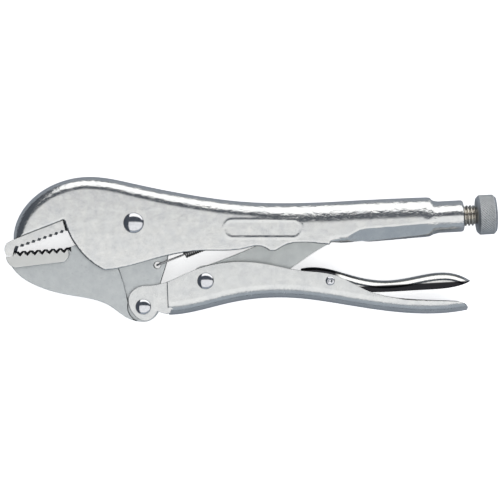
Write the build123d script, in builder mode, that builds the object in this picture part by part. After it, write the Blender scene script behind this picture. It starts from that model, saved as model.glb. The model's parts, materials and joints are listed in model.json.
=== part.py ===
from build123d import *
from math import atan2, cos, hypot, radians, sin
import os

os.makedirs("parts", exist_ok=True)

# ---------------------------------------------------------------- driving dimensions (mm)
# The pliers lie on their side: X runs from the nose to the knob, Z is the thickness.
# All outlines are drawn in TOOL, a plane through the middle of the thickness
# with its origin on the jaw pivot.
KNOB_RADIUS = 10.3
MID_HEIGHT = KNOB_RADIUS
JAW_PIVOT_X = -60.65
JAW_PIVOT_Y = 13.59
TOOL = Plane(origin=(JAW_PIVOT_X, JAW_PIVOT_Y, MID_HEIGHT), x_dir=(1, 0, 0), z_dir=(0, 0, 1))

HANDLE_PIVOT = (4.9, -43.2)
LINK_PIVOT = (37.0, -29.9)
LEVER_PIVOT = (101.1, -29.8)
SPRING_HOLE = (11.9, -21.8)
SPRING_ANCHOR = (62.7, -1.6)

# Thickness of the pieces, each as half of its width about the mid-plane.
UPPER_HALF_WIDTH = 7.6
UPPER_WALL = 1.9
CAVITY_HALF_WIDTH = UPPER_HALF_WIDTH - UPPER_WALL
SHOULDER_RADIUS = 6.5
LOWER_HALF_WIDTH = 7.5
LOWER_WALL = 1.8
LOWER_INNER_HALF = LOWER_HALF_WIDTH - LOWER_WALL
EAR_JOGGLE = 1.1
LOWER_CORNER = 7.0
JAW_BODY_HALF = 5.4
JAW_HEEL_HALF = 4.2
TOOTH_BLOCK_HALF = 7.5
LINK_HALF = 3.0
LINK_EYE_HALF = 5.4
LEVER_HALF = 5.4
LEVER_WALL = 1.5
LEVER_CORNER = 4.2
TAB_HALF = 2.4

# Rivets: shank radius, then radius and height of the head, and the clearances of their holes.
JAW_SHANK_RADIUS = 3.9
JAW_HEAD = (5.3, 1.9)
HANDLE_SHANK_RADIUS = 2.7
HANDLE_HEAD = (4.0, 1.5)
LINK_SHANK_RADIUS = 2.9
LINK_HEAD = (4.25, 1.5)
LEVER_SHANK_RADIUS = 1.7
LEVER_HEAD = (2.35, 0.9)
LEVER_DIMPLE = 0.8
RUNNING_CLEARANCE = 0.06
FIXED_CLEARANCE = 0.02
SPRING_HOLE_RADIUS = 1.8

# Adjusting screw: its axis rises towards the tail and passes through the toggle link's tail.
SCREW_ANGLE = 3.0
SCREW_TIP = (119.2, 1.03)
SCREW_LENGTH = 58.1
THREAD_RADIUS = 5.35
THREAD_PITCH = 1.8
THREAD_DEPTH = 0.9
THREAD_START = 2.0
TIP_BEVEL = 1.2
COLLAR_START = 38.3
COLLAR_END = 51.2
COLLAR_RADIUS = 8.2
COLLAR_BORE_RADIUS = 5.42
BORE_OVERRUN = 6.0
COLLAR_BEVEL = 0.6
CONE_START = 33.9
CONE_RADIUS = 9.2
KNOB_LENGTH = 10.1
KNOB_BEVEL = 1.4
SCREW = Plane(
    origin=TOOL.from_local_coords((SCREW_TIP[0], SCREW_TIP[1], 0)),
    x_dir=(-sin(radians(SCREW_ANGLE)), cos(radians(SCREW_ANGLE)), 0),
    z_dir=(cos(radians(SCREW_ANGLE)), sin(radians(SCREW_ANGLE)), 0),
)

FAR = 80.0  # how far a trimming shape reaches beyond the pieces


def finish(piece, label):
    """Name a finished piece and write it to its own file."""
    piece.part.label = label
    export_step(piece.part, f"parts/{label}.step")


def at(point, height=0.0):
    """A plane parallel to TOOL, at a point of it and a height over the mid-plane."""
    corner = TOOL.from_local_coords((point[0], point[1], height))
    return Plane(origin=corner, x_dir=(1, 0, 0), z_dir=(0, 0, 1))


def inset_points(points, inset):
    """Points of the smooth curve through some points of TOOL, moved to its right by inset."""
    with BuildLine() as line:
        Spline(*points)
    steps = 4 * (len(points) - 1)
    moved = []
    for step in range(steps + 1):
        place = line.line @ (step / steps)
        run = line.line % (step / steps)
        moved.append((place.X + inset * run.Y, place.Y - inset * run.X))
    return moved


def bar(outline, half_width):
    """A flat bar with a closed outline, centred on the mid-plane."""
    with BuildPart() as solid:
        with BuildSketch(TOOL):
            with BuildLine():
                outline()
            make_face()
        extrude(amount=half_width, both=True)
    return solid.part


def rounded_bar(web_points, far_y, half_width, corner):
    """A bar bounded by the curve of a channel's web, rounded along it, reaching to far_y."""
    first, last = web_points[0], web_points[-1]
    with BuildPart() as solid:
        with BuildSketch(TOOL):
            with BuildLine():
                Spline(*web_points)
                Polyline(last, (last[0], far_y), (first[0], far_y), first)
            make_face()
        extrude(amount=half_width, both=True)
        fillet(solid.edges().filter_by(GeomType.BSPLINE), radius=corner)
    return solid.part


def domed_rivet(label, centre, shank_radius, grip_half, head, dimple=0.0):
    """A rivet across the thickness with a domed head each side."""
    head_radius, head_height = head
    head_curve = (head_radius**2 + head_height**2) / (2 * head_height)
    rise = head_height - head_curve
    section = Plane(origin=at(centre).origin, x_dir=(1, 0, 0), z_dir=(0, -1, 0))
    top = grip_half + head_height
    with BuildPart() as rivet:
        with BuildSketch(section):
            with BuildLine():
                Polyline((0, 0), (shank_radius, 0), (shank_radius, grip_half), (head_radius, grip_half))
                middle = head_radius / 2
                ThreePointArc(
                    (head_radius, grip_half),
                    (middle, grip_half + rise + (head_curve**2 - middle**2) ** 0.5),
                    (0, top),
                )
                Line((0, top), (0, 0))
            make_face()
        revolve(axis=Axis(section.origin, (0, 0, 1)))
        if dimple:
            with Locations(at(centre, top)):
                Sphere(dimple, mode=Mode.SUBTRACT)
        mirror(about=TOOL)
    finish(rivet, label)


# ---------------------------------------------------------------- upper handle
TUBE_START = 101.0
TUBE_END = 153.4
LINK_GAP_HALF = LINK_HALF + 0.8
LINK_GAP_END = 118.0
SEAM_HALF = 0.6
SEAM_START = 122.0
SEAM_END = TUBE_END - 6
SEAM_REACH = 16.0
TOP_CURVE = [
    (-62.5, -6.5),
    (-58.2, 6.1),
    (-45.8, 17.8),
    (-24.0, 23.9),
    (0.0, 20.3),
    (33.2, 13.9),
    (58.0, 10.9),
    (76.0, 10.3),
    (TUBE_START, 10.9),
]


def cheek_outline():
    """The side of the upper handle ahead of the tube, with its far side left open above."""
    Polyline((TUBE_START, -11.3), (TUBE_START, FAR), (-FAR, FAR), (-FAR, -8.8), (-62.5, -8.8), (-37.4, 0.9))
    ThreePointArc((-37.4, 0.9), (-36.6, 1.6), (-35.8, 0.9))
    Spline(
        (-35.8, 0.9),
        (-33.2, -6.2),
        (-25.4, -17.2),
        (-15.0, -24.5),
    )
    Spline(
        (-15.0, -24.5),
        (-2.1, -22.3),
        (13.5, -17.9),
        (36.8, -14.3),
        (57.5, -13.2),
        (64.5, -12.0),
        (69.0, -13.9),
    )
    ThreePointArc((69.0, -13.9), (71.6, -14.6), (74.1, -13.9))
    Spline((74.1, -13.9), (79.5, -11.1), (90.0, -10.2), (TUBE_START, -11.3))


def tube_section(x, top, bottom, half_width, top_radius, bottom_radius):
    """One cross-section of the tail tube, drawn across the length."""
    centre = TOOL.from_local_coords((x, (top + bottom) / 2, 0))
    section = Plane(origin=centre, x_dir=(0, 0, 1), z_dir=(-1, 0, 0))
    reach = (top - bottom) / 2
    high_side = reach - top_radius
    low_side = bottom_radius - reach
    top_edge = half_width - top_radius
    bottom_edge = half_width - bottom_radius
    with BuildSketch(section) as sketch:
        with BuildLine():
            Line((half_width, low_side), (half_width, high_side))
            RadiusArc((half_width, high_side), (top_edge, reach), -top_radius)
            Line((top_edge, reach), (-top_edge, reach))
            RadiusArc((-top_edge, reach), (-half_width, high_side), -top_radius)
            Line((-half_width, high_side), (-half_width, low_side))
            RadiusArc((-half_width, low_side), (-bottom_edge, -reach), -bottom_radius)
            Line((-bottom_edge, -reach), (bottom_edge, -reach))
            RadiusArc((bottom_edge, -reach), (half_width, low_side), -bottom_radius)
        make_face()
    return sketch.sketch


def tail_tube(inset):
    """The tail tube from the cheek plates to the collar; inset gives its inside."""
    with BuildPart() as tube:
        for x, top, bottom, half_width, top_radius, bottom_radius in (
            (TUBE_START - 3, 10.7, -11.1, UPPER_HALF_WIDTH - 0.1, SHOULDER_RADIUS, 2.8),
            (TUBE_START + 14, 11.7, -10.2, 8.0, 7.0, 6.0),
            (TUBE_END, 13.4, -7.0, 8.7, 8.3, 8.3),
        ):
            add(
                tube_section(
                    x,
                    top - inset,
                    bottom + inset,
                    half_width - inset,
                    top_radius - inset,
                    bottom_radius - inset,
                )
            )
        loft()
    return tube.part


def seam_outline():
    """The opening below the tube: wide for the toggle link, then a narrow seam."""
    Polyline(
        (TUBE_START - 4, CAVITY_HALF_WIDTH),
        (TUBE_START + 2, CAVITY_HALF_WIDTH),
        (TUBE_START + 7, LINK_GAP_HALF),
        (LINK_GAP_END, LINK_GAP_HALF),
        (SEAM_START, SEAM_HALF),
        (SEAM_END, SEAM_HALF),
        (SEAM_END, -SEAM_HALF),
        (SEAM_START, -SEAM_HALF),
        (LINK_GAP_END, -LINK_GAP_HALF),
        (TUBE_START + 7, -LINK_GAP_HALF),
        (TUBE_START + 2, -CAVITY_HALF_WIDTH),
        (TUBE_START - 4, -CAVITY_HALF_WIDTH),
        close=True,
    )


def make_upper_handle():
    """One folded sheet: cheek plates, tail tube, threaded collar and the spring's tab."""
    inner_curve = inset_points(TOP_CURVE, UPPER_WALL)
    outside = rounded_bar(TOP_CURVE, -FAR, UPPER_HALF_WIDTH, SHOULDER_RADIUS)
    inside = rounded_bar(inner_curve, -FAR, CAVITY_HALF_WIDTH, SHOULDER_RADIUS - UPPER_WALL)
    cheeks = bar(cheek_outline, FAR)
    tube_outside = tail_tube(0.0)
    tube_inside = tail_tube(UPPER_WALL)
    with BuildPart() as upper_handle:
        add(outside)
        add(inside, mode=Mode.SUBTRACT)
        add(cheeks, mode=Mode.INTERSECT)
        add(tube_outside)
        # The cone and the collar close the tube round the screw.
        with BuildSketch(SCREW.offset(CONE_START)):
            Circle(CONE_RADIUS)
        with BuildSketch(SCREW.offset(COLLAR_START)):
            Circle(COLLAR_RADIUS)
        loft()
        with Locations(SCREW.offset(COLLAR_START)):
            Cylinder(
                COLLAR_RADIUS,
                COLLAR_END - COLLAR_START,
                align=(Align.CENTER, Align.CENTER, Align.MIN),
            )
        collar_rim = upper_handle.edges().filter_by(GeomType.CIRCLE).sort_by(Axis.X)[-1]
        chamfer(collar_rim, length=COLLAR_BEVEL)
        add(tube_inside, mode=Mode.SUBTRACT)
        with Locations(SCREW.offset(COLLAR_START - BORE_OVERRUN)):
            Cylinder(
                COLLAR_BORE_RADIUS,
                COLLAR_END - COLLAR_START + 2 * BORE_OVERRUN,
                align=(Align.CENTER, Align.CENTER, Align.MIN),
                mode=Mode.SUBTRACT,
            )
        below = Plane(
            origin=TOOL.from_local_coords((0, -20, 0)),
            x_dir=(1, 0, 0),
            z_dir=(0, 1, 0),
        )
        with BuildSketch(below):
            with BuildLine():
                seam_outline()
            make_face()
        extrude(amount=SEAM_REACH, mode=Mode.SUBTRACT)
        # The tab is lanced from the web and bent down to hold the spring.
        with BuildSketch(TOOL):
            with BuildLine():
                Polyline((62.2, 9.4), (66.2, 9.2), (65.3, -3.6), (63.6, -3.6), close=True)
            make_face()
        extrude(amount=TAB_HALF, both=True)
        with Locations(at((0, 0))):
            Cylinder(JAW_SHANK_RADIUS + FIXED_CLEARANCE, FAR, mode=Mode.SUBTRACT)
    finish(upper_handle, "upper_handle")


# ---------------------------------------------------------------- jaws
UPPER_TEETH = 9
UPPER_TOOTH_DEPTH = 1.2
LOWER_TEETH = 7
LOWER_TOOTH_DEPTH = 2.0
EAR_RADIUS = 7.2
EAR_ROOM = 1.0


def toothed_line(start, end, count, depth, side):
    """Points of a row of teeth between two points; depth goes to one side of the row."""
    run = (end[0] - start[0], end[1] - start[1])
    length = hypot(*run)
    across = (-run[1] / length * side, run[0] / length * side)
    points = [start]
    for tooth in range(count):
        root = (tooth + 0.35) / count
        crest = (tooth + 1) / count
        points.append(
            (
                start[0] + run[0] * root + across[0] * depth,
                start[1] + run[1] * root + across[1] * depth,
            )
        )
        points.append((start[0] + run[0] * crest, start[1] + run[1] * crest))
    return points


def fixed_jaw_strip_outline():
    """The toothed strip that shows below the upper handle."""
    teeth = toothed_line((-61.4, -13.3), (-35.0, -4.15), UPPER_TEETH, UPPER_TOOTH_DEPTH, 1)
    Polyline((-36.5, 1.24), (-62.45, -8.85), (-65.2, -10.3))
    ThreePointArc((-65.2, -10.3), (-66.3, -12.2), (-66.1, -15.5))
    Polyline((-66.1, -15.5), (-65.5, -17.0), (-62.2, -16.9), *teeth, (-36.5, 1.24))


def fixed_jaw_tongue_outline():
    """The tongue that fills the front of the upper handle above the strip."""
    Polyline((-37.6, -3.0), (-55.6, -9.5), (-55.6, -5.5), (-52.0, 1.0), (-44.0, 8.5))
    Polyline((-44.0, 8.5), (-37.6, 10.5), (-37.6, -3.0))


def make_fixed_jaw():
    strip = bar(fixed_jaw_strip_outline, TOOTH_BLOCK_HALF)
    tongue = bar(fixed_jaw_tongue_outline, CAVITY_HALF_WIDTH)
    with BuildPart() as fixed_jaw:
        add(strip)
        add(tongue)
    finish(fixed_jaw, "fixed_jaw")


def lower_jaw_outline():
    """Side of the lower jaw: nose, teeth, pivot hub and the heel round the handle rivet."""
    Polyline((-38.0, -15.0), (-64.6, -19.0))
    Spline(
        (-64.6, -19.0),
        (-61.7, -24.3),
        (-50.0, -32.5),
        (-33.2, -37.3),
        (-12.4, -42.8),
        (-4.1, -48.6),
        (4.9, -51.1),
    )
    ThreePointArc((4.9, -51.1), (10.5, -48.8), (12.8, -43.2))
    Spline((12.8, -43.2), (13.3, -31.6), (16.2, -22.3), (9.6, 0.0))
    ThreePointArc((9.6, 0.0), (0.0, 9.6), (-9.6, 0.0))
    Spline((-9.6, 0.0), (-20.0, -8.2), (-33.5, -12.6), (-38.0, -15.0))


def tooth_block_outline():
    """The thicker toothed block at the front of the lower jaw."""
    teeth = toothed_line((-61.0, -14.6), (-34.6, -12.6), LOWER_TEETH, LOWER_TOOTH_DEPTH, -1)
    Polyline(*teeth)
    Spline((-34.6, -12.6), (-33.4, -16.5), (-35.8, -20.2))
    Polyline((-35.8, -20.2), (-61.2, -23.2))
    Spline((-61.2, -23.2), (-64.4, -21.0), (-65.8, -17.4))
    Polyline((-65.8, -17.4), (-62.3, -17.2), (-61.0, -14.6))


def around(centre, radius, angle):
    """The point of a circle about a centre, at an angle in degrees from +X."""
    return (centre[0] + radius * cos(radians(angle)), centre[1] + radius * sin(radians(angle)))


def heel_cut_outline():
    """The zone behind the step, where the ears of the lower handle lie over the heel."""
    recess = EAR_RADIUS + EAR_ROOM
    step_end = around(HANDLE_PIVOT, recess, 165)
    arc_end = around(HANDLE_PIVOT, recess, 250)
    Polyline((-8.8, -20.5), (-7.9, -23.8), (-5.3, -31.5), step_end)
    ThreePointArc(step_end, around(HANDLE_PIVOT, recess, 200), arc_end)
    Polyline(arc_end, (4.9, -63.0), (FAR, -63.0), (FAR, 4.0), (-8.8, -20.5))


def make_lower_jaw():
    body = bar(lower_jaw_outline, JAW_BODY_HALF)
    heel = bar(lower_jaw_outline, JAW_HEEL_HALF)
    tooth_block = bar(tooth_block_outline, TOOTH_BLOCK_HALF)
    with BuildPart() as lower_jaw:
        add(body)
        with BuildSketch(TOOL):
            with BuildLine():
                heel_cut_outline()
            make_face()
        extrude(amount=FAR, both=True, mode=Mode.SUBTRACT)
        add(heel)
        add(tooth_block)
        with Locations(at((0, 0))):
            Cylinder(JAW_SHANK_RADIUS + RUNNING_CLEARANCE, FAR, mode=Mode.SUBTRACT)
        with Locations(at(HANDLE_PIVOT)):
            Cylinder(HANDLE_SHANK_RADIUS + RUNNING_CLEARANCE, FAR, mode=Mode.SUBTRACT)
        with Locations(at(SPRING_HOLE)):
            Cylinder(SPRING_HOLE_RADIUS, FAR, mode=Mode.SUBTRACT)
    finish(lower_jaw, "lower_jaw")


# ---------------------------------------------------------------- lower handle
LOWER_CURVE = [
    (14.0, -47.6),
    (24.9, -47.0),
    (49.8, -41.3),
    (80.0, -38.7),
    (112.0, -42.8),
    (145.2, -46.8),
    (172.5, -45.0),
]


def lower_side_outline():
    """Side of the lower handle from its tail forward to the ears, open below."""
    bx, by = HANDLE_PIVOT
    ear_top = by + EAR_RADIUS + 3.6
    Spline(
        (bx, ear_top),
        (13.5, -31.5),
        (29.0, -25.1),
        (45.6, -20.7),
        (66.4, -20.9),
        (86.1, -24.6),
        (103.7, -27.0),
        (119.0, -34.3),
        (143.1, -39.5),
        (166.0, -40.4),
        (170.6, -41.4),
        (172.3, -43.4),
    )
    Polyline((172.3, -43.4), (172.3, -FAR), (17.5, -FAR), (17.5, -47.2), (12.0, -45.6))
    Spline((12.0, -45.6), (bx, by - EAR_RADIUS), (bx - EAR_RADIUS, by), (bx, ear_top))


def joggle_outline():
    """The front of the ears, pressed inwards to meet the heel of the lower jaw."""
    Polyline((-20, -70), (18.0, -70), (18.0, -50), (17.0, -24), (-20, -24), close=True)


def make_lower_handle():
    inner_curve = inset_points(LOWER_CURVE, -LOWER_WALL)
    outside = rounded_bar(LOWER_CURVE, FAR, LOWER_HALF_WIDTH, LOWER_CORNER)
    inside = rounded_bar(inner_curve, FAR, LOWER_INNER_HALF, LOWER_CORNER - LOWER_WALL)
    side = bar(lower_side_outline, FAR)
    with BuildPart() as lower_handle:
        add(outside)
        add(inside, mode=Mode.SUBTRACT)
        with BuildSketch(TOOL):
            with BuildLine():
                joggle_outline()
            make_face()
        extrude(amount=FAR, both=True, mode=Mode.SUBTRACT)
        for way in (-1, 1):
            ear_middle = way * (LOWER_HALF_WIDTH - EAR_JOGGLE - LOWER_WALL / 2)
            with BuildSketch(at((0, 0), ear_middle)):
                with BuildLine():
                    Polyline((-20, -70), (17.5, -70), (17.5, -46.5), (19.0, -46.5))
                    Polyline((19.0, -46.5), (19.0, -24), (-20, -24), (-20, -70))
                make_face()
            extrude(amount=LOWER_WALL / 2, both=True)
        add(side, mode=Mode.INTERSECT)
        with Locations(at(HANDLE_PIVOT)):
            Cylinder(HANDLE_SHANK_RADIUS + FIXED_CLEARANCE, FAR, mode=Mode.SUBTRACT)
        with Locations(at(LINK_PIVOT)):
            Cylinder(LINK_SHANK_RADIUS + FIXED_CLEARANCE, FAR, mode=Mode.SUBTRACT)
        with Locations(at(LEVER_PIVOT)):
            Cylinder(LEVER_SHANK_RADIUS + FIXED_CLEARANCE, FAR, mode=Mode.SUBTRACT)
    finish(lower_handle, "lower_handle")


# ---------------------------------------------------------------- toggle link
LINK_EYE_RADIUS = 8.0
LINK_TAIL_RADIUS = 4.5
SCREW_GAP = 2.0  # left between the link's tail and the screw's tip, for the opened pivot


def toggle_link_outline():
    """Side of the toggle link: front eye, bar with a kicked heel, and rounded tail."""
    cx, cy = LINK_PIVOT
    up = radians(SCREW_ANGLE)
    tail_x = SCREW_TIP[0] - (SCREW_GAP + LINK_TAIL_RADIUS) * cos(up)
    tail_y = SCREW_TIP[1] - (SCREW_GAP + LINK_TAIL_RADIUS) * sin(up)
    Spline(
        (cx - 3.2, cy + 6.8),
        (44.6, -19.3),
        (61.2, -12.6),
        (92.0, 0.2),
        (tail_x - 1.2, tail_y + LINK_TAIL_RADIUS - 0.16),
    )
    ThreePointArc(
        (tail_x - 1.2, tail_y + LINK_TAIL_RADIUS - 0.16),
        (tail_x + LINK_TAIL_RADIUS * cos(up), tail_y + LINK_TAIL_RADIUS * sin(up)),
        (tail_x + 1.6, tail_y - LINK_TAIL_RADIUS + 0.29),
    )
    Spline(
        (tail_x + 1.6, tail_y - LINK_TAIL_RADIUS + 0.29),
        (104.0, -9.0),
        (94.0, -14.6),
        (86.9, -19.3),
        (80.0, -24.0),
        (60.0, -32.0),
        (cx + 2.4, cy - 7.1),
    )
    ThreePointArc((cx + 2.4, cy - 7.1), (cx - 6.4, cy - 2.2), (cx - 3.2, cy + 6.8))


def make_toggle_link():
    link_bar = bar(toggle_link_outline, LINK_HALF)
    with BuildPart() as toggle_link:
        add(link_bar)
        with Locations(at(LINK_PIVOT)):
            Cylinder(LINK_EYE_RADIUS, 2 * LINK_EYE_HALF)
            Cylinder(LINK_SHANK_RADIUS + RUNNING_CLEARANCE, FAR, mode=Mode.SUBTRACT)
    finish(toggle_link, "toggle_link")


# ---------------------------------------------------------------- release lever
LEVER_CURVE = [
    (86.2, -23.6),
    (98.5, -23.4),
    (114.3, -27.6),
    (130.0, -29.8),
    (143.0, -28.2),
    (158.0, -25.7),
    (174.0, -29.9),
]


def lever_side_outline():
    """Side of the release lever below its web, from the tail forward to the nose."""
    Polyline((174.0, -29.9), (174.0, FAR), (86.2, FAR), (86.2, -24.0))
    Spline((86.2, -24.0), (88.5, -30.0), (101.1, -35.2))
    Spline(
        (101.1, -35.2),
        (127.4, -35.7),
        (150.0, -34.5),
        (170.2, -31.6),
        (174.0, -29.9),
    )


def make_release_lever():
    inner_curve = inset_points(LEVER_CURVE, LEVER_WALL)
    outside = rounded_bar(LEVER_CURVE, -FAR, LEVER_HALF, LEVER_CORNER)
    inside = rounded_bar(inner_curve, -FAR, LEVER_HALF - LEVER_WALL, LEVER_CORNER - LEVER_WALL)
    side = bar(lever_side_outline, FAR)
    with BuildPart() as release_lever:
        add(outside)
        add(inside, mode=Mode.SUBTRACT)
        add(side, mode=Mode.INTERSECT)
        with Locations(at(LEVER_PIVOT)):
            Cylinder(LEVER_SHANK_RADIUS + RUNNING_CLEARANCE, FAR, mode=Mode.SUBTRACT)
    finish(release_lever, "release_lever")


# ---------------------------------------------------------------- jaw spring
SPRING_RADIUS = 2.3
WIRE_RADIUS = 0.5
COIL_WALL = 1.3
COIL_START = 15.0
COIL_END_GAP = 4.5


def add_wire(axis, points):
    """Straight runs of wire between points of a plane, with rounded joints, in the open part."""
    places = [axis.from_local_coords(point) for point in points]
    for first, second in zip(places, places[1:]):
        with Locations(Plane(origin=first, z_dir=second - first)):
            Cylinder(
                WIRE_RADIUS,
                (second - first).length,
                align=(Align.CENTER, Align.CENTER, Align.MIN),
            )
    for place in places:
        with Locations(place):
            Sphere(WIRE_RADIUS)


def make_jaw_spring():
    """The coil as a closed tube, with a straight hook end each side of it."""
    run = (SPRING_ANCHOR[0] - SPRING_HOLE[0], SPRING_ANCHOR[1] - SPRING_HOLE[1])
    length = hypot(*run)
    slope = atan2(run[1], run[0])
    axis = Plane(
        origin=at(SPRING_HOLE).origin,
        x_dir=(0, 0, 1),
        z_dir=(cos(slope), sin(slope), 0),
    )
    coil_length = length - COIL_START - COIL_END_GAP
    wire_line = SPRING_RADIUS - COIL_WALL / 2
    heel_side = JAW_HEEL_HALF + 1.5 * WIRE_RADIUS
    tab_side = TAB_HALF + 1.5 * WIRE_RADIUS
    with BuildPart() as jaw_spring:
        with Locations(axis.offset(COIL_START)):
            Cylinder(SPRING_RADIUS, coil_length, align=(Align.CENTER, Align.CENTER, Align.MIN))
            Cylinder(
                SPRING_RADIUS - COIL_WALL,
                coil_length,
                align=(Align.CENTER, Align.CENTER, Align.MIN),
                mode=Mode.SUBTRACT,
            )
        add_wire(
            axis,
            [
                (wire_line, 0, COIL_START + 0.6),
                (wire_line, 0, COIL_START - 2),
                (heel_side, 0, 6),
                (heel_side, 0, 0),
                (-1, 0, 0),
            ],
        )
        add_wire(
            axis,
            [
                (wire_line, 0, length - COIL_END_GAP - 0.6),
                (tab_side, 0, length - 2),
                (tab_side, 0, length + 4),
                (0, 0, length + 4),
            ],
        )
    finish(jaw_spring, "jaw_spring")


# ---------------------------------------------------------------- adjusting screw and knob
def make_adjusting_screw():
    """The threaded shank, with rings of the thread's pitch and depth."""
    rings = int((SCREW_LENGTH - 2 * THREAD_START) / THREAD_PITCH)
    core = THREAD_RADIUS - THREAD_DEPTH
    profile = [(0, 0), (core - TIP_BEVEL, 0), (core, TIP_BEVEL)]
    for ring in range(rings):
        base = THREAD_START + ring * THREAD_PITCH
        profile.append((core, base))
        profile.append((THREAD_RADIUS, base + THREAD_PITCH * 0.42))
        profile.append((THREAD_RADIUS, base + THREAD_PITCH * 0.58))
    last = THREAD_START + rings * THREAD_PITCH
    profile += [(core, last), (core, SCREW_LENGTH), (0, SCREW_LENGTH)]
    section = Plane(origin=SCREW.origin, x_dir=SCREW.x_dir, z_dir=(0, 0, 1))
    with BuildPart() as adjusting_screw:
        with BuildSketch(section):
            with BuildLine():
                Polyline(*[(radius, -along) for radius, along in profile], close=True)
            make_face()
        revolve(axis=Axis(SCREW.origin, SCREW.z_dir))
    finish(adjusting_screw, "adjusting_screw")


def make_adjusting_knob():
    """The knurled head of the screw."""
    with BuildPart() as adjusting_knob:
        with Locations(SCREW.offset(SCREW_LENGTH)):
            Cylinder(KNOB_RADIUS, KNOB_LENGTH, align=(Align.CENTER, Align.CENTER, Align.MIN))
        ends = adjusting_knob.edges().filter_by(GeomType.CIRCLE).sort_by(Axis.X)
        chamfer(ends, length=KNOB_BEVEL)
    finish(adjusting_knob, "adjusting_knob")


make_upper_handle()
make_fixed_jaw()
make_lower_jaw()
make_lower_handle()
make_toggle_link()
make_release_lever()
make_jaw_spring()
make_adjusting_screw()
make_adjusting_knob()
domed_rivet("jaw_pivot_rivet", (0, 0), JAW_SHANK_RADIUS, UPPER_HALF_WIDTH, JAW_HEAD)
domed_rivet("handle_rivet", HANDLE_PIVOT, HANDLE_SHANK_RADIUS, LOWER_HALF_WIDTH - EAR_JOGGLE, HANDLE_HEAD)
domed_rivet("link_rivet", LINK_PIVOT, LINK_SHANK_RADIUS, LOWER_HALF_WIDTH, LINK_HEAD)
domed_rivet("lever_rivet", LEVER_PIVOT, LEVER_SHANK_RADIUS, LOWER_HALF_WIDTH, LEVER_HEAD, LEVER_DIMPLE)
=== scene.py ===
import json
from math import cos, pi, radians, sin, tau

import bmesh
import bpy
from mathutils import Matrix, Vector
from mathutils.bvhtree import BVHTree


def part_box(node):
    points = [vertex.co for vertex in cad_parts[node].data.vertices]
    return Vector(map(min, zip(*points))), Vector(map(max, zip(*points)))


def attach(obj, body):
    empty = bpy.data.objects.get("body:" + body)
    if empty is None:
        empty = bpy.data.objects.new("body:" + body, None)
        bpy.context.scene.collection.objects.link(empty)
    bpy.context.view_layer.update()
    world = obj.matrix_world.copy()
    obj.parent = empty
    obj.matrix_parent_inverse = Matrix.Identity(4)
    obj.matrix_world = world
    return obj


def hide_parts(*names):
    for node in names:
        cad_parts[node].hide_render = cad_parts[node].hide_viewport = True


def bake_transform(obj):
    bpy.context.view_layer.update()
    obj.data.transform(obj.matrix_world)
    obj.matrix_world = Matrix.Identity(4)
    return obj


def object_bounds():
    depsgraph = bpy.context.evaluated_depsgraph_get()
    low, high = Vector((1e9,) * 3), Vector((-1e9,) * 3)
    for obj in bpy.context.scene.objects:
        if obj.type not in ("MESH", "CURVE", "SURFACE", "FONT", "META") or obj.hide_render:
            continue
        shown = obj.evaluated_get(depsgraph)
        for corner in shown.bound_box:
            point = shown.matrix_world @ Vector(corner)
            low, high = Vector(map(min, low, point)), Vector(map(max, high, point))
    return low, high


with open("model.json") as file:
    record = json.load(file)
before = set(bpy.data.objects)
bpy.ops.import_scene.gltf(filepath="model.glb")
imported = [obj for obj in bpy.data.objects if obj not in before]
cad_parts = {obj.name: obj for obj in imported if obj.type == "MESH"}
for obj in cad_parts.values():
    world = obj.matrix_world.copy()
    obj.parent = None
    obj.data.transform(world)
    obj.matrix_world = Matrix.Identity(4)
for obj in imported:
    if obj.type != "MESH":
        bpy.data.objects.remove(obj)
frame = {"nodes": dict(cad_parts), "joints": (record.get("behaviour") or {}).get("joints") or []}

cad_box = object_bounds()
scene = bpy.context.scene
joints = {joint["name"]: joint for joint in frame["joints"]}

MM = 0.001
UP = Vector((0, 0, 1))
JAW_PIVOT = Vector(joints["jaw_pivot"]["pos_m"])
MID_HEIGHT = JAW_PIVOT.z
SCREW_AXIS = Vector(joints["knob_turn"]["axis"]).normalized()
WELD = 0.004 * MM          # CAD corners closer than this are one corner


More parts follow.
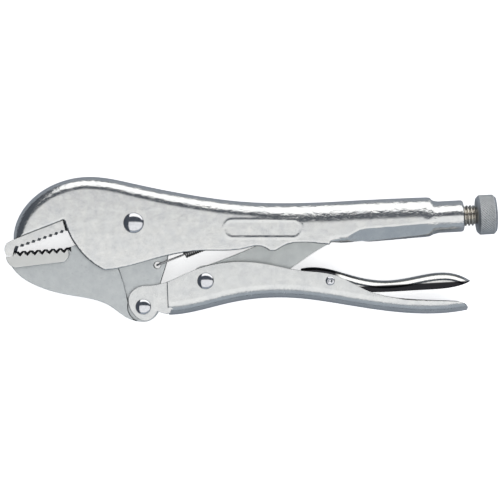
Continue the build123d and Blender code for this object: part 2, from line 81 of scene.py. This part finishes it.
# ---------------------------------------------------------------- materials
class Finish:
    """A procedural material: one Principled shader and the nodes that feed it, in the piece's own metres."""

    def __init__(self, name, metallic=1.0):
        self.material = bpy.data.materials.new(name)
        self.material.use_nodes = True
        self.tree = self.material.node_tree
        self.shader = self.tree.nodes["Principled BSDF"]
        self.shader.inputs["Metallic"].default_value = metallic
        self.place = self.node("TexCoord").outputs["Object"]

    def node(self, kind, inputs=(), **settings):
        """A new node; inputs are values, or sockets to link, by the name of the input."""
        made = self.tree.nodes.new(f"ShaderNode{kind}")
        for name, value in settings.items():
            setattr(made, name, value)
        for name, value in dict(inputs).items():
            self.feed(made.inputs[name], value)
        return made

    def feed(self, socket, value):
        """Links a socket to an input, or sets the input to a value."""
        if isinstance(value, bpy.types.NodeSocket):
            self.tree.links.new(value, socket)
        else:
            socket.default_value = value

    def noise(self, size, detail=3.0, roughness=0.5, stretch=(1, 1, 1)):
        """Noise from 0 to 1 with features of a size in metres, longer where stretch is larger."""
        scaled = self.node("Mapping", {"Vector": self.place, "Scale": [1 / (size * share) for share in stretch]})
        made = self.node(
            "TexNoise",
            {"Vector": scaled.outputs["Vector"], "Scale": 1.0, "Detail": detail, "Roughness": roughness},
        )
        return made.outputs["Fac"]

    def spread(self, value, low, high, start=0.3, end=0.7):
        """A value from start to end, spread over low to high."""
        made = self.node(
            "MapRange",
            {"Value": value, "From Min": start, "From Max": end, "To Min": low, "To Max": high},
        )
        return made.outputs["Result"]

    def mix(self, share, first, second):
        """The first colour where share is 0 and the second where it is 1."""
        made = self.node("MixRGB", {"Fac": share, "Color1": first, "Color2": second})
        return made.outputs["Color"]

    def bump(self, height, distance, below=None):
        """Normals bent by a height from 0 to 1 that stands for a distance in metres."""
        inputs = {"Height": height, "Distance": distance, "Strength": 1.0}
        if below is not None:
            inputs["Normal"] = below
        return self.node("Bump", inputs).outputs["Normal"]

    def work(self, operation, first, second=0.0):
        """The value of a Math node."""
        made = self.node("Math", operation=operation)
        self.feed(made.inputs[0], first)
        self.feed(made.inputs[1], second)
        return made.outputs["Value"]

    def vector_work(self, operation, first, second, output="Vector"):
        """The named output of a Vector Math node."""
        made = self.node("VectorMath", operation=operation)
        self.feed(made.inputs[0], first)
        self.feed(made.inputs[1], second)
        return made.outputs[output]

    def beside(self, start, end):
        """How far a point lies along a line from its start, and to the left of it, in metres."""
        run = (end - start).normalized()
        offset = self.vector_work("SUBTRACT", self.place, start)
        return [self.vector_work("DOT_PRODUCT", offset, way, "Value") for way in (run, UP.cross(run))]

    def tooth_row(self, start, end, count, depth):
        """1 on the flanks of a row of teeth that are cut to the left of a line, where shade is painted."""
        pitch = (end - start).length / count
        row_end = pitch * count
        phase = 0.15 * pitch                # moves the painted shade onto the cut flanks
        flank_width, soft_width = 0.9 * MM, 1.1 * MM
        lead, soft_lead, soft_end = -2.0 * MM, -2.4 * MM, 0.4 * MM
        along, left = self.beside(start, end)
        wave = self.work("PINGPONG", self.work("ADD", along, phase), pitch / 2)
        reach = self.work("MULTIPLY", wave, 2 * depth / pitch)
        flank = self.spread(self.work("SUBTRACT", left, reach), 1.0, 0.0, flank_width, soft_width)
        inside = self.spread(along, 0.0, 1.0, soft_lead, lead)
        beyond = self.spread(along, 1.0, 0.0, row_end, row_end + soft_end)
        return self.work("MULTIPLY", flank, self.work("MULTIPLY", inside, beyond))

    def sideways(self):
        """How far the surface faces either flat side of the tool, from 0 to 1."""
        facing = self.vector_work("DOT_PRODUCT", self.node("NewGeometry").outputs["Normal"], UP, "Value")
        return self.work("ABSOLUTE", facing)

    def edges(self, radius):
        """1 on the sharp edges of the piece and 0 on its faces."""
        on_edge, on_face = 0.8, 0.98        # cosines of how far the bevelled normal turns
        rounded = self.node("Bevel", {"Radius": radius}, samples=4)
        flat = self.node("NewGeometry").outputs["Normal"]
        turn = self.vector_work("DOT_PRODUCT", rounded.outputs["Normal"], flat, "Value")
        return self.spread(turn, 1.0, 0.0, on_edge, on_face)

    def crevices(self, reach):
        """1 where other surfaces are near, 0 in the open."""
        enclosed, clear = 0.25, 0.9
        open_share = self.node("AmbientOcclusion", {"Distance": reach}, samples=6).outputs["AO"]
        return self.spread(open_share, 1.0, 0.0, enclosed, clear)


# Painted shade and grime: the near-black tone that crevices darken towards, where other surfaces are near.
SHADE_AND_GRIME_TONE = (0.05, 0.052, 0.058, 1)
WORN_BRIGHT = (0.93, 0.93, 0.92, 1)
GROUND_PALE = (0.7, 0.7, 0.67, 1)
# Painted shade: near black on the tooth flanks.
TOOTH_SHADE = (0.012, 0.012, 0.014, 1)
# Painted shade: a dark reflection under the release lever's lower edge and along its front.
LIP_SHADE = (0.02, 0.02, 0.022, 1)
SPECK_SHADE = 0.55         # of the dark tone
SPECK_SHARE = 0.25         # how strongly the specks show
SPECK_SIZE = 2.2           # in grains
SMEAR_SIZE = 0.6           # of the mottle
SHADE_AND_GRIME_REACH = 1.6 * MM
WORN_RADIUS = 0.35 * MM
GROUND_FADE = 0.1 * MM
RIPPLE_SIZE = 1.6 * MM
RIPPLE_FLAT = (0.993, 0.9995)   # the ripple fades out between these shares of facing sideways


def lip_share(finish, start, end):
    """1 along a line and about its start, on the flat sides only: where the lever gets painted shade, a dark
    reflection.
    """
    front_length, front_end = 3 * MM, 6 * MM
    lip_height, lip_end = 1.5 * MM, 2.1 * MM
    edge_on, side_on = 0.1, 0.4
    along, above = finish.beside(start, end)
    front = finish.spread(along, 1.0, 0.0, front_length, front_end)
    lower_edge = finish.spread(above, 1.0, 0.0, lip_height, lip_end)
    flat_side = finish.spread(finish.sideways(), 0.0, 1.0, edge_on, side_on)
    return finish.work("MULTIPLY", finish.work("MAXIMUM", front, lower_edge), flat_side)


def metal(
    name, light, dark, gloss, mottle=6 * MM, grain=0.35 * MM, grain_height=0.004 * MM, wave=5 * MM,
    wave_height=0.03 * MM, stretch=(1, 1, 1), shade_and_grime=0.5, worn=0.35, ripple=0.0, teeth=None, ground=None, lip=None,
):
    """Plated or ground steel: mottled tone, fine grain, slow waves, crevices darkened with painted shade and
    grime, and worn edges.

    gloss is the lowest and highest roughness. ripple is the height of a fine ripple on the rounded parts. ground
    is the distance from the middle plane from which the steel is pale. teeth is a tooth_row whose flanks get
    painted shade, and lip is a line below which the piece gets painted shade, a dark reflection.
    """
    finish = Finish(name)
    cloud = finish.noise(mottle, detail=6.0, roughness=0.62)
    tone = finish.mix(finish.spread(cloud, 0.0, 1.0), dark, light)
    specks = finish.spread(finish.noise(grain * SPECK_SIZE, detail=2.0), 0.0, 1.0, 0.6, 0.75)
    speck_tone = [channel * SPECK_SHADE for channel in dark[:3]] + [1]
    tone = finish.mix(finish.spread(specks, 0.0, SPECK_SHARE, 0.0, 1.0), tone, speck_tone)
    # painted shade and grime: darker where other surfaces are near
    tone = finish.mix(finish.spread(finish.crevices(SHADE_AND_GRIME_REACH), 0.0, shade_and_grime, 0.0, 1.0), tone, SHADE_AND_GRIME_TONE)
    tone = finish.mix(finish.spread(finish.edges(WORN_RADIUS), 0.0, worn, 0.0, 1.0), tone, WORN_BRIGHT)
    if ground:
        from_middle = finish.work("ABSOLUTE", finish.beside(JAW_PIVOT, JAW_PIVOT + UP)[0])
        tone = finish.mix(finish.spread(from_middle, 0.0, 1.0, ground - GROUND_FADE, ground), tone, GROUND_PALE)
    if teeth:
        # painted shade on the tooth flanks
        tone = finish.mix(finish.tooth_row(*teeth), tone, TOOTH_SHADE)
    if lip:
        # painted shade: the lever's dark reflection below its lower edge and along its front
        tone = finish.mix(lip_share(finish, *lip), tone, LIP_SHADE)
    finish.feed(finish.shader.inputs["Base Color"], tone)

    smear = finish.noise(mottle * SMEAR_SIZE, detail=5.0, roughness=0.7, stretch=stretch)
    finish.feed(finish.shader.inputs["Roughness"], finish.spread(smear, *gloss))

    slow = finish.bump(finish.noise(wave, detail=1.5, roughness=0.4), wave_height)
    if ripple:
        rounded = finish.spread(finish.sideways(), 1.0, 0.0, *RIPPLE_FLAT)
        rippled = finish.work("MULTIPLY", finish.noise(RIPPLE_SIZE, stretch=(1.6, 1, 1)), rounded)
        slow = finish.bump(rippled, ripple, slow)
    fine = finish.bump(finish.noise(grain, detail=2.0, stretch=stretch), grain_height, slow)
    finish.feed(finish.shader.inputs["Normal"], fine)
    return finish.material


# the tooth flanks along this line get painted shade
TOOTH_LINE = (JAW_PIVOT + Vector((-34.6, -12.6, 0)) * MM, JAW_PIVOT + Vector((-61.0, -14.6, 0)) * MM)
# the lever gets painted shade, a dark reflection, below this line and about its start
LEVER_LINE = (JAW_PIVOT + Vector((101.1, -35.4, 0)) * MM, JAW_PIVOT + Vector((170.2, -31.8, 0)) * MM)
looks = {
    "plated_shell": dict(
        light=(0.64, 0.635, 0.61, 1), dark=(0.56, 0.565, 0.56, 1), gloss=(0.16, 0.24),
        wave=3.2 * MM, ripple=0.2 * MM, shade_and_grime=0.2,
    ),
    "plated_handle": dict(
        light=(0.64, 0.64, 0.62, 1), dark=(0.56, 0.565, 0.56, 1), gloss=(0.20, 0.28),
        wave=6 * MM,
    ),
    "forged_jaw": dict(
        light=(0.60, 0.62, 0.61, 1), dark=(0.52, 0.54, 0.54, 1), gloss=(0.34, 0.44),
        mottle=4 * MM, grain=0.5 * MM, grain_height=0.012 * MM, teeth=(*TOOTH_LINE, 7, 2 * MM), ground=6.5 * MM,
    ),
    "link_steel": dict(
        light=(0.60, 0.62, 0.60, 1), dark=(0.50, 0.52, 0.51, 1), gloss=(0.38, 0.48),
        mottle=7 * MM, grain=0.4 * MM, grain_height=0.008 * MM, stretch=(6, 1, 1),
    ),
    "lever_steel": dict(
        light=(0.66, 0.65, 0.62, 1), dark=(0.58, 0.58, 0.56, 1), gloss=(0.10, 0.18),
        wave=9 * MM, lip=LEVER_LINE,
    ),
    "rivet_steel": dict(
        light=(0.62, 0.62, 0.63, 1), dark=(0.52, 0.52, 0.54, 1), gloss=(0.08, 0.16),
        mottle=1.5 * MM, grain=0.25 * MM, grain_height=0.001 * MM, wave=2 * MM, wave_height=0.01 * MM,
    ),
    "spring_wire": dict(
        light=(0.46, 0.45, 0.44, 1), dark=(0.30, 0.30, 0.30, 1), gloss=(0.22, 0.34),
        mottle=1.2 * MM, grain=0.2 * MM, grain_height=0.002 * MM, wave_height=0.002 * MM,
    ),
    "screw_thread": dict(
        light=(0.66, 0.62, 0.54, 1), dark=(0.46, 0.43, 0.38, 1), gloss=(0.22, 0.34),
        mottle=2 * MM, grain=0.2 * MM, grain_height=0.002 * MM, wave_height=0.004 * MM,
    ),
    "knob_steel": dict(
        light=(0.56, 0.57, 0.57, 1), dark=(0.44, 0.45, 0.45, 1), gloss=(0.36, 0.48),
        mottle=2 * MM, grain=0.2 * MM, grain_height=0.003 * MM, wave_height=0.004 * MM, worn=0.5,
    ),
}
finishes = {name: metal(name, **look) for name, look in looks.items()}


# ---------------------------------------------------------------- pieces
def new_piece(name, edit, body, node, finish):
    """The mesh as a piece of its own that stands for a CAD node and moves with its body."""
    mesh = bpy.data.meshes.new(name)
    edit.to_mesh(mesh)
    edit.free()
    mesh.materials.append(finishes[finish])
    mesh.shade_smooth()
    piece = bpy.data.objects.new(name, mesh)
    scene.collection.objects.link(piece)
    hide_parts(node)
    if body:
        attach(piece, body)
    return piece


def narrow(face):
    """Whether a face is a sliver, too thin to round its edges over."""
    thinnest = 0.06 * MM
    longest = max(edge.calc_length() for edge in face.edges)
    return face.calc_area() < longest * thinnest


def eased(node, body, slot, width, finish=None):
    """The CAD piece with its sharp edges rounded over by a width."""
    flat_angle, sharp_angle = radians(0.3), radians(40)
    edit = bmesh.new()
    edit.from_mesh(frame["nodes"][node].data)
    bmesh.ops.remove_doubles(edit, verts=edit.verts, dist=WELD)
    bmesh.ops.dissolve_limit(edit, angle_limit=flat_angle, verts=edit.verts, edges=edit.edges)
    weights = edit.edges.layers.float.new("bevel_weight_edge")
    for edge in edit.edges:
        sharp = edge.is_manifold and edge.calc_face_angle() > sharp_angle
        edge[weights] = float(sharp and not any(narrow(face) for face in edge.link_faces))
    piece = new_piece(f"{node}_eased", edit, body, node, finish or slot)
    if "custom_normal" in piece.data.attributes:
        piece.data.attributes.remove(piece.data.attributes["custom_normal"])
    bevel = piece.modifiers.new("edges", "BEVEL")
    bevel.width = width
    bevel.segments = 2
    bevel.limit_method = "WEIGHT"
    bevel.use_clamp_overlap = False
    flats = piece.modifiers.new("flats", "WEIGHTED_NORMAL")
    flats.weight = 100


def rise(value, start, end):
    """0 before start, 1 after end and smooth between them."""
    share = min(1.0, max(0.0, (value - start) / (end - start)))
    return share * share * (3 - 2 * share)


def top_strip(edit):
    """The outer web of the upper handle, along its top and round its nose, as a tree to measure from."""
    nose_end = JAW_PIVOT.x - 45 * MM
    web_half = 1.3 * MM
    upward, forward, level = 0.2, -0.6, 0.05        # limits on the parts of a face's normal
    strip = []
    for face in edit.faces:
        middle = face.calc_center_median()
        upper = face.normal.y > upward and (middle.y > JAW_PIVOT.y or middle.x < nose_end)
        outward = upper or (face.normal.x < forward and middle.x < nose_end)
        if outward and abs(face.normal.z) < level and abs(middle.z - MID_HEIGHT) < web_half:
            strip.append([vert.index for vert in face.verts])
    return BVHTree.FromPolygons([vert.co for vert in edit.verts], strip)


def relaxed_skin(cad, voxel):
    """One seamless skin over a surface, with the steps of its voxels relaxed."""
    mesh = bpy.data.meshes.new("shell_base")
    cad.to_mesh(mesh)
    base = bpy.data.objects.new("shell_base", mesh)
    scene.collection.objects.link(base)
    remesh = base.modifiers.new("skin", "REMESH")
    remesh.mode = "VOXEL"
    remesh.voxel_size = voxel
    smooth = base.modifiers.new("relax", "SMOOTH")
    smooth.factor = 0.5
    smooth.iterations = 3
    bpy.context.view_layer.update()
    skin = bpy.data.meshes.new_from_object(base.evaluated_get(bpy.context.evaluated_depsgraph_get()))
    bpy.data.objects.remove(base)
    return skin


def tube_bottom(along):
    """How far the underside of the tail tube lies from the jaw pivot's level."""
    knee, end = 115 * MM, 153 * MM
    level, slope, climb = -10.2 * MM, 0.08, 3.2 * MM
    if along < knee:
        return level - (knee - along) * slope
    return level + climb * (along - knee) / (end - knee)


def shoulder_reach(along):
    """How far inward from the web the shoulder runs: wider behind the jaw and again at the tail."""
    nose, middle_gain, tail_gain = 6.5, 0.9, 3.4
    middle, tail = rise(along, -20 * MM, 30 * MM), rise(along, 58 * MM, 90 * MM)
    return (nose + middle_gain * middle + tail_gain * tail) * MM


def panel_lift(x, y):
    """How far the raised outline of the panel on each side stands out at a point."""
    centre = JAW_PIVOT + Vector((66.5, -3.0, 0)) * MM
    half_length, radius = 15.5 * MM, 4.6 * MM
    lift = 0.1 * MM
    full_width, soft_width = 0.35 * MM, 0.9 * MM
    rim = abs(capsule_distance(x - centre.x, y - centre.y, half_length, radius))
    return lift * (1 - rise(rim, full_width, soft_width))


def capsule_distance(x, y, half_length, radius):
    """How far a point lies outside the outline of a round-ended bar."""
    beyond = max(0.0, abs(x) - half_length)
    return (beyond * beyond + y * y) ** 0.5 - radius


def make_shell():
    """The stamped upper handle as one skin, with a shoulder that widens from the nose to the round tail."""
    cad = bmesh.new()
    cad.from_mesh(frame["nodes"]["upper_handle"].data)
    bmesh.ops.remove_doubles(cad, verts=cad.verts, dist=WELD)
    cad.verts.index_update()
    strip = top_strip(cad)
    skin = relaxed_skin(cad, voxel=0.6 * MM)
    cad.free()

    cheek_half = (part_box("fixed_jaw")[1].z - MID_HEIGHT) + 0.1 * MM
    tail_swell = 1.1 * MM
    web_half = 1.1 * MM
    settle = 0.3 * MM          # an inner face lies deeper than this and stays
    tube_start, tube_end = 101 * MM, 153 * MM
    facet_slope, facet_width, facet_run = 0.69, 7.0 * MM, 18 * MM
    edit = bmesh.new()
    edit.from_mesh(skin)
    for vert in edit.verts:
        x, y, z = vert.co
        along = x - JAW_PIVOT.x
        height = abs(z - MID_HEIGHT)
        if along > tube_end or height < web_half:
            continue
        inward = strip.find_nearest(Vector((x, y, MID_HEIGHT)))[3]
        side = cheek_half + tail_swell * min(1.0, max(0.0, (along - tube_start) / (tube_end - tube_start)))
        share = max(0.0, 1 - inward / shoulder_reach(along))
        surface = web_half + (side - web_half) * (1 - share * share) ** 0.5
        above_seam = y - JAW_PIVOT.y - tube_bottom(along)
        if along > tube_start:
            facet = facet_width * rise(along, tube_start, tube_start + facet_run) - above_seam
            surface = min(surface, side - facet_slope * max(0.0, facet))
        gap = surface - height
        lift = 0.0 if gap > 0 and along > tube_start else 1 - rise(gap, 0.0, settle)
        height += (gap + panel_lift(x, y)) * lift
        vert.co.z = MID_HEIGHT + (height if z > MID_HEIGHT else -height)
    neck_start, neck_end, neck_passes = tube_end - 1.5 * MM, tube_end + 3.0 * MM, 8
    neck = [vert for vert in edit.verts if neck_start < vert.co.x - JAW_PIVOT.x < neck_end]
    for _ in range(neck_passes):
        bmesh.ops.smooth_vert(edit, verts=neck, factor=0.5, use_axis_x=True, use_axis_y=True, use_axis_z=True)
    new_piece("plated_shell", edit, "upper_frame", "upper_handle", "plated_shell")


def turned(place, profile, around, shaped=None):
    """A closed mesh about a place's Z axis: a ring at each (along, radius), reshaped by a formula."""
    edit = bmesh.new()
    rings = []
    for along, size in profile:
        ring = []
        for step in range(around):
            angle = tau * step / around
            radius = shaped(along, angle, size) if shaped else size
            ring.append(edit.verts.new(place @ Vector((radius * cos(angle), radius * sin(angle), along))))
        rings.append(ring)
    for lower, upper in zip(rings, rings[1:]):
        for step in range(around):
            after = (step + 1) % around
            edit.faces.new((lower[step], lower[after], upper[after], upper[step]))
    edit.faces.new(list(reversed(rings[0])))
    edit.faces.new(rings[-1])
    return edit


def axis_place(node, axis):
    """The frame at the start of a round CAD node on an axis, with its length and radius."""
    low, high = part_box(node)
    radius = (high.z - low.z) / 2
    length = ((high.x - low.x) - 2 * radius * abs(axis.y)) / axis.x
    middle = (low + high) / 2
    turn = axis.to_track_quat("Z", "Y").to_matrix().to_4x4()
    return Matrix.Translation(middle - axis * length / 2) @ turn, length, radius


def make_knob():
    """The knob with a diamond knurl and bevelled rims."""
    place, length, radius = axis_place("adjusting_knob", SCREW_AXIS)
    teeth = 46
    depth, sharpness = 0.38 * MM, 1.5
    rim = 1.4 * MM
    slant = tau * radius / teeth
    samples = 9
    steps = int(length / (slant / samples))

    def knurl(along, angle):
        """The depth of the crossed grooves at a point."""
        turn = angle / tau * teeth
        shift = along / slant
        ridges = [abs(((turn + way * shift) % 1.0) * 2 - 1) for way in (-1, 1)]
        return depth * (1 - min(1.0, sharpness * min(ridges)))

    def cut(along, angle, bevelled):
        """The radius at a point: the bevelled blank, or the knurl where that is lower."""
        return min(bevelled, radius - knurl(along, angle))

    stations = [length * step / steps for step in range(steps + 1)]
    profile = [(along, radius - max(0.0, rim - min(along, length - along))) for along in stations]
    edit = turned(place, profile, teeth * samples, cut)
    new_piece("knurled_knob", edit, "knob", "adjusting_knob", "knob_steel")


def make_screw():
    """The shank with its real helical thread."""
    place, length, radius = axis_place("adjusting_screw", SCREW_AXIS)
    pitch = 1.8 * MM
    depth = 0.95 * MM
    root, crest = 0.04, 0.38   # where the flank starts and ends, as a share of the pitch
    lead_in = 2.0 * MM
    plain_end = 1.2 * MM
    bare_lead, bare_end = 0.3, 0.2
    rows_per_pitch, around = 14, 72

    def thread(along, angle, core):
        """The radius at a point of the helix, which fades out at both ends."""
        phase = (along / pitch - angle / tau) % 1.0
        height = rise(0.5 - abs(phase - 0.5), root, crest)
        front_fade = max(0.0, along / lead_in - bare_lead)
        end_fade = max(0.0, (length - along) / plain_end - bare_end)
        return core + depth * height * min(1.0, front_fade, end_fade)

    rows = int(length / pitch * rows_per_pitch)
    stations = [length * row / rows for row in range(rows + 1)]
    profile = [(along, radius - depth - max(0.0, plain_end - along)) for along in stations]
    edit = turned(place, profile, around, thread)
    new_piece("threaded_screw", edit, "screw", "adjusting_screw", "screw_thread")


def make_rivet(node, body, dimple=0.0):
    """A rivet with a polished dome each side; a dimple is a hollow of that radius in its middle."""
    low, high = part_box(node)
    radius = (high.x - low.x) / 2
    centre = (low + high) / 2
    half = (high.z - low.z) / 2
    dome = radius * 0.36
    smallest_ring = 0.02 * MM
    hollow_depth, hollow_floor = 0.5 * dimple, 0.3 * dimple
    steps, around = 24, 64
    profile = []
    for step in range(steps + 1):
        turn = pi / 2 * step / steps
        size = max(smallest_ring, radius * sin(turn))
        hollow = hollow_depth * (1 - rise(size, hollow_floor, dimple)) if dimple else 0.0
        profile.append((-half + dome * (1 - cos(turn)) + hollow, size))
    profile += [(-along, size) for along, size in reversed(profile)]
    edit = turned(Matrix.Translation(centre), profile, around)
    new_piece(f"{node}_domed", edit, body, node, "rivet_steel")


def make_spring():
    """The extension spring as one wire: hook, leg, close coils, leg and hook."""
    low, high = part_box("jaw_spring")
    wire = 0.5 * MM
    coil_radius = 2.3 * MM - wire
    hook = Vector((low.x + wire, low.y + wire, MID_HEIGHT))
    tab_end = Vector((high.x - wire, high.y - wire, MID_HEIGHT))
    along = (tab_end - hook).normalized()
    length = (tab_end - hook).length
    across = UP.cross(along)
    coil_start, coil_end = 15.0 * MM, length - 8.5 * MM
    coil_pitch = 2.12 * wire
    turns, per_turn = round((coil_end - coil_start) / coil_pitch), 14
    heel_side, tab_side = 4.95 * MM, 3.15 * MM      # the height of each leg over the middle plane
    leg, corner = 6 * MM, 0.6 * MM
    heel_tip, tab_tip = -1.2 * MM, -0.4 * MM

    def point(distance, side, height):
        """A point of the wire, from the hook in the heel towards the tab."""
        return hook + along * distance + across * side + UP * height

    points = [point(0, 0, heel_tip), point(0, 0, heel_side - corner), point(corner, 0, heel_side)]
    points += [point(leg, 0, heel_side), point(coil_start - 2 * MM, 0, coil_radius + 0.3 * MM)]
    for step in range(turns * per_turn + 1):
        angle = tau * step / per_turn
        distance = coil_start + (coil_end - coil_start) * step / (turns * per_turn)
        points.append(point(distance, coil_radius * sin(angle), coil_radius * cos(angle)))
    points += [point(length - leg, 0, tab_side), point(length - corner, 0, tab_side)]
    points += [point(length, 0, tab_side - corner), point(length, 0, tab_tip)]

    curve = bpy.data.curves.new("spring_line", "CURVE")
    curve.dimensions = "3D"
    curve.bevel_depth = wire
    curve.bevel_resolution = 3
    curve.use_fill_caps = True
    spline = curve.splines.new("POLY")
    spline.points.add(len(points) - 1)
    for spot, place in zip(spline.points, points):
        spot.co = (*place, 1)
    line = bpy.data.objects.new("spring_line", curve)
    scene.collection.objects.link(line)
    bpy.context.view_layer.update()
    made = bpy.data.meshes.new_from_object(line)
    bpy.data.objects.remove(line)
    edit = bmesh.new()
    edit.from_mesh(made)
    piece = new_piece("coil_spring", edit, None, "jaw_spring", "spring_wire")
    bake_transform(piece)


make_shell()
eased("fixed_jaw", "upper_frame", "forged_jaw", 0.15 * MM, finish="plated_shell")
eased("lower_jaw", "moving_jaw", "forged_jaw", 0.3 * MM)
eased("lower_handle", "moving_handle", "plated_handle", 0.3 * MM)
eased("toggle_link", "link", "link_steel", 0.3 * MM)
eased("release_lever", "lever", "lever_steel", 0.3 * MM)
make_knob()
make_screw()
make_rivet("jaw_pivot_rivet", "upper_frame")
make_rivet("handle_rivet", "moving_handle")
make_rivet("link_rivet", "moving_handle")
make_rivet("lever_rivet", "moving_handle", dimple=1.3 * MM)
make_spring()


# ---------------------------------------------------------------- camera, floor and light
low, high = cad_box
centre = (low + high) / 2
picture_margin = 1.0193
view_width = (high.x - low.x) * picture_margin
lens = 135.0
sensor = 36.0
aim = Vector((-0.78, -0.39, 0)) * MM       # the photo's middle, from the middle of the tool
camera_data = bpy.data.cameras.new("camera")
camera_data.lens = lens
camera_data.sensor_width = sensor
camera = bpy.data.objects.new("camera", camera_data)
camera.location = centre + aim + UP * (view_width * lens / sensor)
scene.collection.objects.link(camera)
scene.camera = camera
scene.view_settings.view_transform = "Standard"

bpy.ops.mesh.primitive_plane_add(size=6, location=(centre.x, centre.y, 0))
floor = bpy.context.object
floor.name = "floor"
paper = Finish("floor_paper", metallic=0.0)
fibres = paper.noise(0.8 * MM)
# The paper is white in the picture and blue-grey in the steel's reflections.
seen = paper.node("LightPath").outputs["Is Camera Ray"]
seen_white = paper.mix(fibres, (0.93, 0.93, 0.93, 1), (0.96, 0.96, 0.96, 1))
reflected_grey = (0.46, 0.5, 0.56, 1)
paper.feed(paper.shader.inputs["Base Color"], paper.mix(seen, reflected_grey, seen_white))
paper.feed(paper.shader.inputs["Normal"], paper.bump(fibres, 0.01 * MM))
paper.shader.inputs["Emission Color"].default_value = (1, 1, 1, 1)
paper.feed(paper.shader.inputs["Emission Strength"], paper.spread(seen, 0.0, 0.7, 0.0, 1.0))
paper.shader.inputs["Roughness"].default_value = 0.9
floor.data.materials.append(paper.material)

world = bpy.data.worlds.new("studio")
world.use_nodes = True
background = world.node_tree.nodes["Background"]
background.inputs["Color"].default_value = (0.72, 0.82, 1.0, 1)
background.inputs["Strength"].default_value = 0.14
scene.world = world


def softbox(name, start, end, brightness, colour=(1, 1, 1)):
    """A long light along X that fills the sky from a start to an end angle, from overhead towards +Y."""
    distance = 1.5
    left, right = -0.8, 3.0
    middle = radians((start + end) / 2)
    half = radians((end - start) / 2)
    width = 2 * distance * sin(half) / cos(half)
    data = bpy.data.lights.new(name, "AREA")
    data.shape = "RECTANGLE"
    data.size = right - left
    data.size_y = width
    data.energy = brightness * pi * data.size * width
    data.color = colour
    light = bpy.data.objects.new(name, data)
    light.location = centre + Vector((0, sin(middle), cos(middle))) * distance
    light.location.x += (left + right) / 2
    light.rotation_euler = (-middle, 0, 0)
    light.visible_camera = False
    scene.collection.objects.link(light)


softbox("front_softbox", -46, 5, 1.2)
softbox("low_fill", -86, -50, 0.5, colour=(0.8, 0.9, 1.0))
softbox("back_softbox", 34, 82, 1.75)
